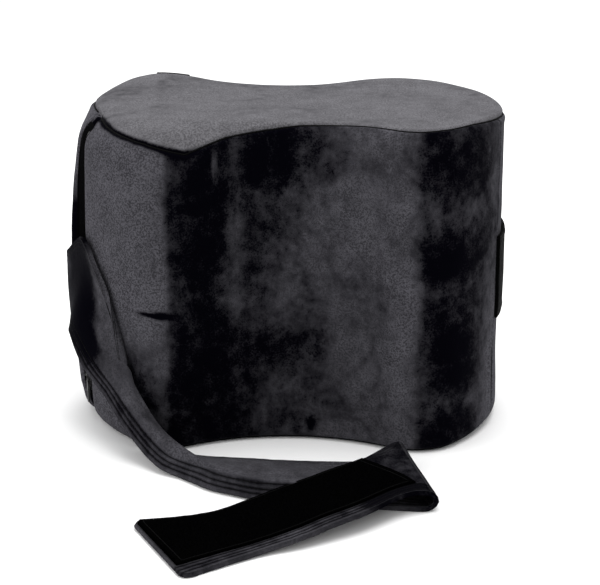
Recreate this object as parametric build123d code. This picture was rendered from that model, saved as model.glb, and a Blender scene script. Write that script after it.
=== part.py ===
from build123d import *
import os
from math import cos, radians, sin

# Leg spacer cushion: an hourglass foam block in a zipped velour cover, with a wrap strap.
# Frame: origin at the centre of the bottom face, +Z up, +X towards the end with the hook patch,
# -Y towards the side that the strap wraps round. All sizes are in millimetres.

# ---------------------------------------------------------------- driving dimensions
LENGTH = 250.0            # across the two rounded ends
DEPTH = 157.0             # across the lobes
WAIST = 118.0             # across the middle of the two leg hollows
HEIGHT = 190.0
LOBE_X = 73.0             # distance from the middle to each lobe's peak
LOBE_RADIUS = 33.0
EDGE_RADIUS = 7.0         # rounding of the top and bottom edges
SEAM_DROP = 8.0           # the top and bottom seams lie this far from the flat faces

COVER = 2.5               # velour cover
SEWN_LAYER = 1.0          # zip tapes and seam bindings, just inside the cover
LINER = 0.8               # knitted liner round the foam
EASE = 0.1                # play between the nested layers
SEAM_SLIT = 0.3           # gap between two panels at a seam
BINDING_WIDTH = 9.0

ZIP_ANGLE = 14.7          # round the left end, from -X towards -Y
ZIP_SLOT = 13.0           # opening between the panels over the zip
ZIP_TAPE = 14.0           # width of each tape
ZIP_SLIT = 1.5            # clear way for the slider's neck
TEETH_LOW = 14.0
TEETH_HIGH = 178.0
TOOTH_PITCH = 2.5
TOOTH_DEPTH = 1.8
SLIDER_REST = 24.0        # height of the slider's middle when the zip is shut
SLIDER_WIDTH = 9.0
SLIDER_LENGTH = 12.0
PULL_WIDTH = 7.0
PULL_LENGTH = 17.0

SEAM_ANGLE = 18.0         # right end seam, from +X towards -Y
PATCH_LOW = 68.0
PATCH_HIGH = 118.0
PATCH_RUN = 50.0          # width of the hook patch, rearwards from the right end seam
PATCH_THICK = 1.8
THREAD = 0.6

LABEL_X = -78.5
LABEL_WIDTH = 23.0
LABEL_DROP = 34.0

STRAP_THICK = 3.0
STRAP_LOW = 57.0          # heights of the strap's two edges where it is sewn on
STRAP_HIGH = 118.0
HINGE_X = -127.4          # the strap swings about its sewn edge
HINGE_Y = -9.0
ANCHOR_GAP = 4.0          # from the swinging edge to the sewn-down end
ANCHOR_RUN = 18.0
TAPE_THICK = 1.2          # loop tape near the strap's free end
TAPE_EDGES = (0.16, 0.97)  # across the strap, as parts of its width
TAPE_ENDS = (17.0, 3.0)   # left bare at the fold and at the free end
TAPE_HEM = 0.03           # from the tape's edge to its stitching, as part of the strap's width
HEM_ROWS = (0.03, 0.13)   # rows of stitching along the strap's near hem
THREAD_SHARE = 0.012      # width of a row of stitching, as part of the strap's width
SEWN_GAP = 0.04           # keeps layers that are sewn face to face just apart
THREAD_LIFT = STRAP_THICK / 2 + THREAD / 4 + SEWN_GAP

# Two circles besides the lobe's make the outline; both follow from the sizes above.
PINCH = (DEPTH - WAIST) / 2
HOLLOW_RADIUS = (LOBE_X**2 + PINCH**2) / (2 * PINCH) - LOBE_RADIUS
NOSE = LENGTH / 2 - LOBE_X
END_RADIUS = (NOSE**2 + (DEPTH / 2)**2 - DEPTH * LOBE_RADIUS) / (2 * (NOSE - LOBE_RADIUS))
END_X = LENGTH / 2 - END_RADIUS

# The strap's two edges, station by station: (far or upper edge, near or lower edge).
STRAP_ROUTE = [
    ((-127.4, -9, 118), (-127.4, -9, 57)),
    ((-129, -27, 117), (-133, -27, 56)),
    ((-118.5, -47, 103), (-125, -47, 45)),
    ((-111, -60, 88), (-113, -64, 35)),
    ((-103, -71, 64), (-98, -82, 21)),
    ((-95, -78, 44), (-84, -94, 8)),
    ((-84, -83, 24), (-70, -109, 1.6)),
    ((-72, -86, 8), (-54, -123, 1.6)),
    ((-58, -90, 1.6), (-41, -131, 1.6)),
    ((-30, -94, 1.6), (-15, -143, 1.6)),
    ((0, -97, 1.6), (14, -149, 1.6)),
    ((30, -98, 1.6), (44, -155, 1.6)),
    ((65, -95, 1.6), (81, -158, 1.6)),
]
# The free end, folded back over the run on the floor.
END_ROUTE = [
    ((64, -95.2, 9), (80, -158.2, 9)),
    ((35, -115, 9), (50, -171, 9)),
    ((0, -141, 9), (20, -192, 7.5)),
    ((-35, -166, 3.5), (-8, -216, 1.8)),
    ((-79, -189, 1.6), (-46, -245, 1.6)),
]


# ---------------------------------------------------------------- shared helpers
def outline(inset):
    """The hourglass face, every arc moved inwards by inset (outwards when it is negative)."""
    hollow = Vector(0, WAIST / 2 + HOLLOW_RADIUS)
    lobe = Vector(LOBE_X, DEPTH / 2 - LOBE_RADIUS)
    end = Vector(END_X, 0)
    lobe_radius = LOBE_RADIUS - inset
    to_hollow = (hollow - lobe).normalized()
    from_end = (lobe - end).normalized()
    inner = lobe + to_hollow * lobe_radius
    peak = lobe + (to_hollow + from_end).normalized() * lobe_radius
    outer = lobe + from_end * lobe_radius
    edges = []
    for side in (1, -1):
        waist = (0, side * (WAIST / 2 - inset))
        edges.append(ThreePointArc((-inner.X, side * inner.Y), waist, (inner.X, side * inner.Y)))
        tip = (side * (LENGTH / 2 - inset), 0)
        edges.append(ThreePointArc((side * outer.X, outer.Y), tip, (side * outer.X, -outer.Y)))
        for end_side in (1, -1):
            points = [(end_side * p.X, side * p.Y) for p in (inner, peak, outer)]
            edges.append(ThreePointArc(*points))
    return Face(Wire(edges))


def block(inset):
    """The whole cushion's shape, shrunk by inset on every side."""
    body = extrude(outline(inset), HEIGHT - 2 * inset, dir=(0, 0, 1))
    body = Pos(0, 0, inset) * body
    rims = body.edges().filter_by(Plane.XY)
    return fillet(rims, EDGE_RADIUS - inset)


def layer(start, thickness):
    """A closed skin that begins start below the outer surface."""
    return block(start) - block(start + thickness)


def end_plane(angle, side):
    """A plane on the outer surface of an end: local x round the end, y up, z outwards."""
    turn = radians(angle)
    outward = Vector(side * cos(turn), -sin(turn), 0)
    along = Vector(sin(turn), side * cos(turn), 0)
    foot = Vector(side * END_X, 0, 0) + outward * END_RADIUS
    return Plane(origin=foot, x_dir=along, z_dir=outward)


def slab(low, high):
    """A wide flat block between two heights."""
    return Pos(0, 0, (low + high) / 2) * Box(2 * LENGTH, 2 * LENGTH, high - low)


def ribbon(route, share, lift, thickness):
    """A strip along the strap: share gives its two edges as parts of the width."""
    sections = []
    for index, (upper, lower) in enumerate(route):
        upper, lower = Vector(*upper), Vector(*lower)
        before = route[max(index - 1, 0)]
        after = route[min(index + 1, len(route) - 1)]
        start = (Vector(*before[0]) + Vector(*before[1])) * 0.5
        stop = (Vector(*after[0]) + Vector(*after[1])) * 0.5
        face_side = (stop - start).cross(upper - lower).normalized()
        low_edge = lower + (upper - lower) * share[0]
        high_edge = lower + (upper - lower) * share[1]
        inner = face_side * (lift - thickness / 2)
        outer = face_side * (lift + thickness / 2)
        corners = [low_edge + inner, high_edge + inner, high_edge + outer, low_edge + outer]
        sections.append(Polyline(*corners, close=True))
    return loft([Face(Wire(section.edges())) for section in sections], ruled=True)


def trimmed(route, at_start, at_end):
    """The same strip, cut short by a length at each end."""
    shorter = [tuple(Vector(*edge) for edge in station) for station in route]
    for index, beside, cut in ((0, 1, at_start), (-1, -2, at_end)):
        moved = []
        for edge, neighbour in zip(shorter[index], shorter[beside]):
            moved.append(edge + (neighbour - edge).normalized() * cut)
        shorter[index] = tuple(moved)
    return [tuple(tuple(edge) for edge in station) for station in shorter]


parts = {}


# ---------------------------------------------------------------- foam and liner
zip_plane = end_plane(ZIP_ANGLE, -1)
seam_plane = end_plane(SEAM_ANGLE, 1)
sewn_start = COVER + EASE
liner_start = sewn_start + SEWN_LAYER + EASE
foam_start = liner_start + LINER + EASE
slider_way = zip_plane * Pos(0, HEIGHT / 2, -4.2) * Box(11, HEIGHT - 12, 4)

parts["foam_core"] = block(foam_start) - slider_way
parts["inner_liner"] = layer(liner_start, LINER) - slider_way


# ---------------------------------------------------------------- cover panels
def cover_panels():
    cover = layer(0, COVER)
    parts["top_panel"] = cover & slab(HEIGHT - SEAM_DROP, HEIGHT + 1)
    parts["bottom_panel"] = cover & slab(-1, SEAM_DROP)
    side = cover & slab(SEAM_DROP + SEAM_SLIT, HEIGHT - SEAM_DROP - SEAM_SLIT)
    zip_slot = zip_plane * Pos(0, HEIGHT / 2, 0) * Box(ZIP_SLOT, HEIGHT, 12)
    end_slit = seam_plane * Pos(0, HEIGHT / 2, 0) * Box(SEAM_SLIT, HEIGHT, 12)
    front, rear = (side - zip_slot - end_slit).solids().sort_by(Axis.Y)
    parts["front_panel"] = front
    parts["rear_panel"] = rear


cover_panels()


# ---------------------------------------------------------------- seam bindings
def seam_bindings():
    sewn = layer(sewn_start, SEWN_LAYER)
    zip_room = zip_plane * Pos(0, HEIGHT / 2, 0) * Box(2 * ZIP_TAPE + 2, HEIGHT, 14)
    half = BINDING_WIDTH / 2
    top = slab(HEIGHT - SEAM_DROP - half, HEIGHT - SEAM_DROP + half)
    bottom = slab(SEAM_DROP - half, SEAM_DROP + half)
    between = slab(SEAM_DROP + half + EASE, HEIGHT - SEAM_DROP - half - EASE)
    end_band = seam_plane * Pos(0, HEIGHT / 2, 0) * Box(BINDING_WIDTH, HEIGHT, 14)
    parts["top_seam_binding"] = (sewn & top) - zip_room
    parts["bottom_seam_binding"] = (sewn & bottom) - zip_room
    parts["end_seam_binding"] = sewn & between & end_band


seam_bindings()


# ---------------------------------------------------------------- zip
def zip_piece(x, y, z, *size):
    return zip_plane * Pos(x, y, z) * Box(*size)


def zip_plate(y, z, width, length, thickness, radius):
    """A flat plate with rounded corners, its middle at height y and depth z."""
    base = zip_plane * Pos(0, y, z - thickness / 2) * RectangleRounded(width, length, radius)
    return extrude(base, thickness, dir=zip_plane.z_dir)


def zip_chain():
    sewn = layer(sewn_start, SEWN_LAYER)
    middle = (TEETH_LOW + TEETH_HIGH) / 2
    run = TEETH_HIGH - TEETH_LOW
    count = int(run / TOOTH_PITCH)
    seat = -sewn_start + 0.05
    for name, side in (("front", 1), ("rear", -1)):
        reach = side * (ZIP_SLIT + ZIP_TAPE) / 2
        parts["zipper_tape_" + name] = sewn & zip_piece(reach, middle, 0, ZIP_TAPE, run + 8, 14)
        spine = zip_piece(side * 3.0, middle, seat + 0.6, 1.2, run, 1.2)
        teeth = []
        for index in range(count):
            shift = 0.5 * TOOTH_PITCH if side > 0 else 0
            height = TEETH_LOW + TOOTH_PITCH * (index + 0.4) + 0.4 * shift
            tooth = zip_piece(side * 1.85, height, seat + TOOTH_DEPTH / 2, 2.2, 1.1, TOOTH_DEPTH)
            teeth.append(tooth)
        parts["zipper_teeth_" + name] = spine + teeth


def zip_stops():
    level = -sewn_start + 1.1
    width = 2 * 3.8
    for name, height in (("bottom", TEETH_LOW - 1.8), ("top", TEETH_HIGH + 1.8)):
        parts["zipper_" + name + "_stop"] = zip_piece(0, height, level, width, 2.6, 2.0)


def zip_slider():
    top_plate = zip_plate(SLIDER_REST, 0.3, SLIDER_WIDTH, SLIDER_LENGTH, 1.4, 2.5)
    neck_height = SLIDER_REST + SLIDER_LENGTH / 2 - 2.5
    neck = zip_piece(0, neck_height, -2.3, 0.8, 3.6, 4.0)
    back_plate = zip_piece(0, SLIDER_REST, -4.6, SLIDER_WIDTH - 1.5, SLIDER_LENGTH, 1.0)
    pin_height = SLIDER_REST + 3.0
    lugs = [zip_piece(side * 2.2, pin_height, 2.2, 1.0, 3.0, 2.6) for side in (1, -1)]
    pin = zip_plane * Pos(0, pin_height, 2.6) * Rot(0, 90, 0) * Cylinder(0.55, 4.6)
    parts["zipper_slider"] = top_plate + neck + back_plate + lugs + pin


def zip_pull():
    pin_height = SLIDER_REST + 3.0
    eye = zip_plane * Pos(0, pin_height, 2.6) * Rot(0, 90, 0) * Cylinder(1.25, 2.8)
    hole = zip_plane * Pos(0, pin_height, 2.6) * Rot(0, 90, 0) * Cylinder(0.65, 4.0)
    shank = zip_piece(0, pin_height - 2.2, 2.6, 2.8, 3.6, 1.2)
    tab_middle = pin_height - 3.5 - (PULL_LENGTH - 3.5) / 2
    tab = zip_plate(tab_middle, 2.6, PULL_WIDTH, PULL_LENGTH - 3.5, 1.2, 2.4)
    window = zip_piece(0, tab_middle - 2.0, 2.6, 3.0, 5.0, 3.0)
    parts["zipper_pull"] = eye + shank + tab - hole - window


zip_chain()
zip_stops()
zip_slider()
zip_pull()


# ---------------------------------------------------------------- hook patch, label
def hook_patch():
    middle = (PATCH_LOW + PATCH_HIGH) / 2
    tall = PATCH_HIGH - PATCH_LOW
    skin = block(-PATCH_THICK) - block(0)
    centre = Pos(LENGTH / 2, seam_plane.origin.Y + PATCH_RUN / 2, middle)
    parts["hook_patch"] = skin & (centre * Box(60, PATCH_RUN, tall))
    thread_skin = block(-PATCH_THICK - THREAD / 2) - block(-PATCH_THICK)
    run, rise = PATCH_RUN - 4, tall - 4
    frame = Box(60, run, rise) - Box(62, run - 2 * THREAD, rise - 2 * THREAD)
    parts["hook_patch_stitching"] = thread_skin & (centre * frame)


def care_label():
    skin = block(-1.2) - block(-0.2)
    high = HEIGHT - SEAM_DROP + 5
    reach = Pos(LABEL_X, DEPTH / 2, high - LABEL_DROP / 2) * Box(LABEL_WIDTH, 40, LABEL_DROP)
    parts["care_label"] = skin & reach


hook_patch()
care_label()


# ---------------------------------------------------------------- strap
def strap_anchor():
    """The strap's sewn-down end, flat on the rear panel just behind the swinging edge."""
    middle = (STRAP_LOW + STRAP_HIGH) / 2
    tall = STRAP_HIGH - STRAP_LOW
    thick = STRAP_THICK - 1
    centre = Pos(-LENGTH / 2, HINGE_Y + ANCHOR_GAP + ANCHOR_RUN / 2, middle)
    skin = block(-thick) - block(0)
    parts["strap_anchor"] = skin & (centre * Box(40, ANCHOR_RUN, tall))
    thread_skin = block(-thick - THREAD / 2) - block(-thick)
    run, rise = ANCHOR_RUN - 5, tall - 6
    frame = Box(42, run, rise) - Box(44, run - 2 * THREAD, rise - 2 * THREAD)
    parts["strap_anchor_stitching"] = thread_skin & (centre * frame)


def strap():
    parts["strap_band"] = ribbon(STRAP_ROUTE, (0, 1), 0, STRAP_THICK)
    route = trimmed(STRAP_ROUTE, 3, 3)
    rows = []
    for row in HEM_ROWS:
        rows.append(ribbon(route, (row, row + THREAD_SHARE), THREAD_LIFT, THREAD / 2))
    parts["strap_stitching"] = Compound(rows)


def strap_end():
    parts["strap_end_band"] = ribbon(END_ROUTE, (0, 1), 0, STRAP_THICK)
    tape_route = trimmed(END_ROUTE, *TAPE_ENDS)
    tape_lift = -(STRAP_THICK + TAPE_THICK) / 2 - SEWN_GAP
    parts["strap_end_tape"] = ribbon(tape_route, TAPE_EDGES, tape_lift, TAPE_THICK)
    route = trimmed(END_ROUTE, TAPE_ENDS[0] + 3, TAPE_ENDS[1] + 3)
    thread_lift = -(THREAD_LIFT + TAPE_THICK + SEWN_GAP)
    rows = []
    for row in (TAPE_EDGES[0] + TAPE_HEM, TAPE_EDGES[1] - TAPE_HEM - THREAD_SHARE):
        rows.append(ribbon(route, (row, row + THREAD_SHARE), thread_lift, THREAD / 2))
    parts["strap_end_stitching"] = Compound(rows)


strap_anchor()
strap()
strap_end()


# ---------------------------------------------------------------- write the parts
os.makedirs("parts", exist_ok=True)
for name, shape in parts.items():
    export_step(shape, f"parts/{name}.step")
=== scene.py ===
from math import pi, radians

import bpy
import numpy as np
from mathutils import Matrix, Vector, noise


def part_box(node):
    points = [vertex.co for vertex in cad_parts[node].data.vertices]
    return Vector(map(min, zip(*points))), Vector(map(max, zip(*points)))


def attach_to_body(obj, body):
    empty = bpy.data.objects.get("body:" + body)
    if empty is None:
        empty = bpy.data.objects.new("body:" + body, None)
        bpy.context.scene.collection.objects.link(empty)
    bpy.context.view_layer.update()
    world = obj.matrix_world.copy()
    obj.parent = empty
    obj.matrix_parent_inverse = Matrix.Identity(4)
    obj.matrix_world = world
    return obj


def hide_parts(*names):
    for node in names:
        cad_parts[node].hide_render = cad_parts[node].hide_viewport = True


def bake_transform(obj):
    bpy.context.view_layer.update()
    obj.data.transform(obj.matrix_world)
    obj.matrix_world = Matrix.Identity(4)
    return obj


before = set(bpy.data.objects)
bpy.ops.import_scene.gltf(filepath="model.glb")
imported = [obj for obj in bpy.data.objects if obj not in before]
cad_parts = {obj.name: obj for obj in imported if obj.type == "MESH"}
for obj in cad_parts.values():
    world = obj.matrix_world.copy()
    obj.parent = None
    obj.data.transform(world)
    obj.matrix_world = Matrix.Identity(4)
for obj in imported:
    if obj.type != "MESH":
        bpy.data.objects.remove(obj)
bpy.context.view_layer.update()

# Lengths below are in millimetres, in the CAD frame, and become metres as each mesh is made.
MM = 0.001
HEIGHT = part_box("top_panel")[1][2] / MM
LENGTH = 2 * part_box("top_panel")[1][0] / MM
DEPTH = 2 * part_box("top_panel")[1][1] / MM
WAIST = 118.0             # across the middle of the two leg hollows
LOBE_X = 73.0             # from the middle to each lobe's peak
LOBE_RADIUS = 33.0
ZIP_ANGLE = 14.7          # round the left end, from -X towards -Y
SEAM_ANGLE = 18.0         # right end seam, from +X towards -Y
SLOT_HALF = 6.0           # half the opening over the zip
SLOT_EDGE = 0.6           # width of the opening's soft edge
SLOT_DEPTH = 6.0
ZIP_TOP = 179.0           # height of the zip's top stop
PATCH_LOW, PATCH_HIGH = 68.0, 118.0
PATCH_RUN = 50.0          # from the end seam round the right end
LABEL_BOTTOM = 153.0
STRAP_WIDTH = 62.0
STRAP_HALF = 1.3          # half the strap's thickness
STITCH_ROWS = (2.6, 5.4, 8.6)
SEAM_THREAD, PATCH_THREAD, STRAP_THREAD = 0.45, 0.3, 0.22


# ---- small helpers
def unit(vectors):
    """The vectors at length 1."""
    length = np.linalg.norm(vectors, axis=-1, keepdims=True)
    return vectors / np.maximum(length, 1e-9)


def smooth_step(value, start, end):
    """0 before start, 1 past end, and a soft S between them."""
    t = np.clip((value - start) / (end - start), 0, 1)
    return t * t * (3 - 2 * t)


def bump(value, middle, width):
    """A soft hump, 1 at the middle."""
    return np.exp(-(((value - middle) / width) ** 2))


def ripple(points, size, seed):
    """Smooth noise from -1 to 1 at each point, with features about size across."""
    flat = points.reshape(-1, 3) / size + np.array([seed * 7.3, seed * 3.1, seed * 5.7])
    values = [noise.noise(Vector(point)) for point in flat]
    return np.array(values).reshape(points.shape[:-1])


def mesh_object(name, points, faces, material, paint=None):
    """A mesh piece; paint gives one number for each point under each attribute's name."""
    mesh = bpy.data.meshes.new(name)
    mesh.from_pydata((points.reshape(-1, 3) * MM).tolist(), [], faces)
    mesh.update()
    for title, values in (paint or {}).items():
        layer = mesh.attributes.new(title, "FLOAT", "POINT")
        layer.data.foreach_set("value", np.asarray(values, dtype=np.float32).ravel())
    for polygon in mesh.polygons:
        polygon.use_smooth = True
    mesh.materials.append(material)
    piece = bpy.data.objects.new(name, mesh)
    bpy.context.scene.collection.objects.link(piece)
    return piece


def grid_faces(rows, columns, wrap=False, start=0):
    """Four-sided faces between the points of a grid; wrap joins its last column to its first."""
    faces = []
    last = columns if wrap else columns - 1
    for row in range(rows - 1):
        for column in range(last):
            after = (column + 1) % columns
            a = start + row * columns + column
            b = start + row * columns + after
            faces.append((a, a + columns, b + columns, b))
    return faces


def slab_mesh(name, middle, normals, half, material, paint=None):
    """A closed sheet round a grid of points, with rounded edges; half is half its thickness."""
    rows, columns = middle.shape[:2]
    half = np.broadcast_to(half, (rows, columns))[..., None]
    over = middle + normals * half
    under = middle - normals * half
    points = np.concatenate([over.reshape(-1, 3), under.reshape(-1, 3)])
    shift = rows * columns
    faces = [face[::-1] for face in grid_faces(rows, columns)]
    faces += [tuple(i + shift for i in face) for face in grid_faces(rows, columns)]
    border = list(range(columns))
    border += [row * columns + columns - 1 for row in range(1, rows)]
    border += [(rows - 1) * columns + column for column in range(columns - 2, -1, -1)]
    border += [row * columns for row in range(rows - 2, 0, -1)]
    flat = middle.reshape(-1, 3)
    inward = np.zeros_like(flat)
    for index in border:
        row, column = divmod(index, columns)
        near_row = min(max(row, 1), rows - 2)
        near_column = min(max(column, 1), columns - 2)
        inward[index] = flat[near_row * columns + near_column] - flat[index]
    outward = -unit(inward[border])
    rim = flat[border] + outward * half.reshape(-1, 1)[border] * 0.7
    points = np.concatenate([points, rim])
    first = 2 * shift
    count = len(border)
    for place in range(count):
        after = (place + 1) % count
        a, b = border[place], border[after]
        faces.append((a, b, first + after, first + place))
        faces.append((first + place, first + after, b + shift, a + shift))
    paint = {title: np.concatenate([values.ravel(), values.ravel(), values.ravel()[border]])
             for title, values in (paint or {}).items()}
    return mesh_object(name, points, faces, material, paint)


def tube_mesh(name, paths, radius, material, sides=6):
    """One closed tube along each path of points."""
    points, faces = [], []
    for path in paths:
        along = unit(np.gradient(path, axis=0))
        aside = unit(np.cross(along, [0.31, 0.17, 0.94]))
        above = np.cross(along, aside)
        start = sum(len(block) for block in points)
        turn = np.linspace(0, 2 * pi, sides, endpoint=False)
        ring = np.cos(turn)[:, None, None] * aside + np.sin(turn)[:, None, None] * above
        tube = (path + radius * ring).transpose(1, 0, 2)
        points.append(tube.reshape(-1, 3))
        faces += grid_faces(len(path), sides, wrap=True, start=start)
        faces.append(tuple(start + i for i in range(sides)))
        faces.append(tuple(start + (len(path) - 1) * sides + i for i in range(sides))[::-1])
    return mesh_object(name, np.concatenate(points), faces, material)


def spline(points, count):
    """A smooth run through the points, evenly spaced along its length; points may carry rails."""
    points = np.asarray(points, float)
    padded = np.concatenate([2 * points[:1] - points[1:2], points, 2 * points[-1:] - points[-2:-1]])
    steps = np.linspace(0, len(points) - 1 - 1e-9, 40 * len(points))
    whole = steps.astype(int)
    t = (steps - whole).reshape((-1,) + (1,) * (points.ndim - 1))
    a, b, c, d = (padded[whole + i] for i in range(4))
    curve = 0.5 * (2 * b + (c - a) * t + (2 * a - 5 * b + 4 * c - d) * t**2
                   + (3 * b - a - 3 * c + d) * t**3)
    flat = curve.reshape(len(curve), -1, 3).mean(axis=1)
    travel = np.concatenate([[0], np.cumsum(np.linalg.norm(np.diff(flat, axis=0), axis=1))])
    wanted = np.linspace(0, travel[-1], count)
    columns = curve.reshape(len(curve), -1)
    even = np.stack([np.interp(wanted, travel, column) for column in columns.T], axis=1)
    return even.reshape((count,) + points.shape[1:])


# ---- materials
class Nodes:
    """A small wrapper that adds and links shader nodes."""

    def __init__(self, name):
        self.material = bpy.data.materials.new(name)
        self.material.use_nodes = True
        self.tree = self.material.node_tree
        self.shader = self.tree.nodes["Principled BSDF"]
        coordinates = self.tree.nodes.new("ShaderNodeTexCoord")
        self.place = coordinates.outputs["Object"]

    def link(self, source, target):
        self.tree.links.new(source, target)

    def add(self, kind, values=None, **settings):
        node = self.tree.nodes.new(kind)
        for key, value in settings.items():
            setattr(node, key, value)
        for key, value in (values or {}).items():
            if isinstance(value, bpy.types.NodeSocket):
                self.link(value, node.inputs[key])
            else:
                node.inputs[key].default_value = value
        return node

    def painted(self, title):
        return self.add("ShaderNodeAttribute", attribute_name=title).outputs["Fac"]

    def noise(self, scale, detail=2.0, rough=0.5, stretch=None, warp=0.0):
        place = self.place
        if stretch:
            place = self.add("ShaderNodeMapping", {"Vector": place, "Scale": stretch}).outputs["Vector"]
        values = {"Vector": place, "Scale": scale, "Detail": detail,
                  "Roughness": rough, "Distortion": warp}
        return self.add("ShaderNodeTexNoise", values).outputs["Fac"]

    def math(self, operation, first, second=0.0):
        node = self.add("ShaderNodeMath", {0: first, 1: second}, operation=operation)
        return node.outputs["Value"]

    def range(self, value, low, high, out_low=0.0, out_high=1.0):
        values = {"Value": value, "From Min": low, "From Max": high,
                  "To Min": out_low, "To Max": out_high}
        node = self.add("ShaderNodeMapRange", values, interpolation_type="SMOOTHSTEP")
        return node.outputs["Result"]

    def blend(self, share, first, second):
        node = self.add("ShaderNodeMix", data_type="RGBA")
        colours = [socket for socket in node.inputs if socket.type == "RGBA"]
        for socket, colour in zip(colours, (first, second)):
            if isinstance(colour, bpy.types.NodeSocket):
                self.link(colour, socket)
            else:
                socket.default_value = (*colour, 1)
        self.link(share, node.inputs["Factor"])
        return [socket for socket in node.outputs if socket.type == "RGBA"][0]

    def bump(self, height, distance, strength=1.0):
        values = {"Height": height, "Distance": distance, "Strength": strength}
        node = self.add("ShaderNodeBump", values)
        self.link(node.outputs["Normal"], self.shader.inputs["Normal"])

    def finish(self, colour, roughness, sheen=0.0, sheen_rough=0.4, gloss=0.3):
        if isinstance(colour, bpy.types.NodeSocket):
            self.link(colour, self.shader.inputs["Base Color"])
        else:
            self.shader.inputs["Base Color"].default_value = (*colour, 1)
        self.shader.inputs["Roughness"].default_value = roughness
        self.shader.inputs["Specular IOR Level"].default_value = gloss
        self.shader.inputs["Sheen Weight"].default_value = sheen
        self.shader.inputs["Sheen Roughness"].default_value = sheen_rough
        self.shader.inputs["Sheen Tint"].default_value = (0.8, 0.8, 0.85, 1)
        return self.material


# The pale tone is the top face's painted light from above; the dark tone serves both the dark pile and
# painted shade.
VELOUR_LIGHT = (0.049, 0.0477, 0.0545)
VELOUR_TOP_LIT = (0.091, 0.089, 0.096)
VELOUR_DARK = (0.0010, 0.0009, 0.0020)


def shades(colour, darker, lighter):
    """A colour's dark and light shade, each a multiple of it."""
    return tuple(darker * c for c in colour), tuple(lighter * c for c in colour)


def velour(name, patchy):
    """Crushed velour. One painted number darkens it where the pile lies the dark way and where painted
    shade falls; "pale" lightens the top face with painted light from above.
    """
    n = Nodes(name)
    cloud = n.noise(30, 5, 0.60, (1.0, 1.0, 0.85), 0.5)
    fine = n.noise(150, 4, 0.62, (1.0, 1.0, 0.9))
    speck = n.noise(1000, 2, 0.65)
    mottle = n.math("ADD", n.range(cloud, 0.1, 0.9, -0.46 * patchy, 0.46 * patchy),
                    n.range(fine, 0.1, 0.9, -0.28 * patchy, 0.28 * patchy))
    mottle = n.math("ADD", mottle, n.range(speck, 0.1, 0.9, -0.34, 0.34))
    dark = n.range(n.math("ADD", n.painted("nap_and_shade"), mottle), -0.06, 0.98)
    soft = n.math("ADD", n.math("MULTIPLY", n.range(speck, 0.36, 0.64), 0.70),
                  n.math("MULTIPLY", n.range(n.noise(55, 6, 0.7), 0.32, 0.68), 0.30))
    grain = n.range(soft, 0.0, 1.0)
    usual = n.blend(grain, *shades(VELOUR_LIGHT, 0.50, 1.50))
    # the top face's lighter shades: painted light from above
    top_lit = n.blend(grain, *shades(VELOUR_TOP_LIT, 0.66, 1.34))
    tone = n.blend(n.painted("pale"), usual, top_lit)
    colour = n.blend(dark, tone, VELOUR_DARK)
    pile = n.math("ADD", n.math("MULTIPLY", n.noise(1500, 2, 0.6), 0.6), n.math("MULTIPLY", fine, 0.8))
    n.bump(pile, 0.0006, 0.5)
    return n.finish(colour, 0.9, sheen=0.06, sheen_rough=0.3, gloss=0.0)


def woven(name, colour, scale, gloss=0.2):
    """A plain weave of two crossed sets of threads."""
    n = Nodes(name)
    threads = {"Vector": n.place, "Scale": scale, "Distortion": 0.4}
    one = n.add("ShaderNodeTexWave", threads, bands_direction="Z").outputs["Fac"]
    two = n.add("ShaderNodeTexWave", threads, bands_direction="DIAGONAL").outputs["Fac"]
    weave = n.math("MULTIPLY", one, two)
    patch = n.noise(60, 4, 0.6)
    share = n.math("ADD", n.math("MULTIPLY", weave, 0.5), n.math("MULTIPLY", patch, 0.5))
    tone = n.blend(share, *shades(colour, 0.6, 1.35))
    n.bump(weave, 0.0003, 0.6)
    return n.finish(tone, 0.8, gloss=gloss)


def fuzzy_tape(name, cell, gloss):
    """Hook or loop tape: rows of tiny points that swallow the light."""
    n = Nodes(name)
    dots = n.add("ShaderNodeTexVoronoi", {"Vector": n.place, "Scale": cell}).outputs["Distance"]
    tone = n.blend(n.range(dots, 0.2, 0.7), (0.0001, 0.0001, 0.0001), (0.0009, 0.0009, 0.0010))
    n.bump(dots, 0.0005, 0.8)
    return n.finish(tone, 0.8, gloss=gloss)


def hard(name, colour, roughness, metal=0.0):
    """Worn metal or hard plastic."""
    n = Nodes(name)
    wear = n.noise(400, 4, 0.6)
    tone = n.blend(wear, *shades(colour, 0.7, 1.4))
    n.bump(wear, 0.0001, 0.3)
    n.shader.inputs["Metallic"].default_value = metal
    return n.finish(tone, roughness, gloss=0.5)


def foam(name):
    """Open foam with fine pores."""
    n = Nodes(name)
    pores = n.add("ShaderNodeTexVoronoi", {"Vector": n.place, "Scale": 700.0}).outputs["Distance"]
    tone = n.blend(pores, (0.55, 0.50, 0.36), (0.80, 0.74, 0.58))
    n.bump(pores, 0.0006, 0.6)
    return n.finish(tone, 0.95, gloss=0.1)


cover_velour = velour("cover_velour", 1.0)
strap_velour = velour("strap_velour", 0.8)
thread_black = woven("thread_black", (0.003, 0.003, 0.003), 2500, gloss=0.05)
zip_cloth = woven("zip_cloth", (0.0015, 0.0015, 0.0018), 900, gloss=0.03)
label_satin = woven("label_satin", (0.002, 0.002, 0.0022), 1400, gloss=0.15)
liner_knit = woven("liner_knit", (0.55, 0.55, 0.56), 600)
thread_grey = woven("thread_grey", (0.022, 0.022, 0.023), 2500, gloss=0.1)
hook_black = fuzzy_tape("hook_black", 650, 0.03)
loop_black = fuzzy_tape("loop_black", 1400, 0.0)
zip_metal = hard("zip_metal", (0.006, 0.006, 0.0065), 0.55, metal=0.3)
zip_nylon = hard("zip_nylon", (0.004, 0.004, 0.0045), 0.6)
foam_cream = foam("foam_cream")


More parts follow.
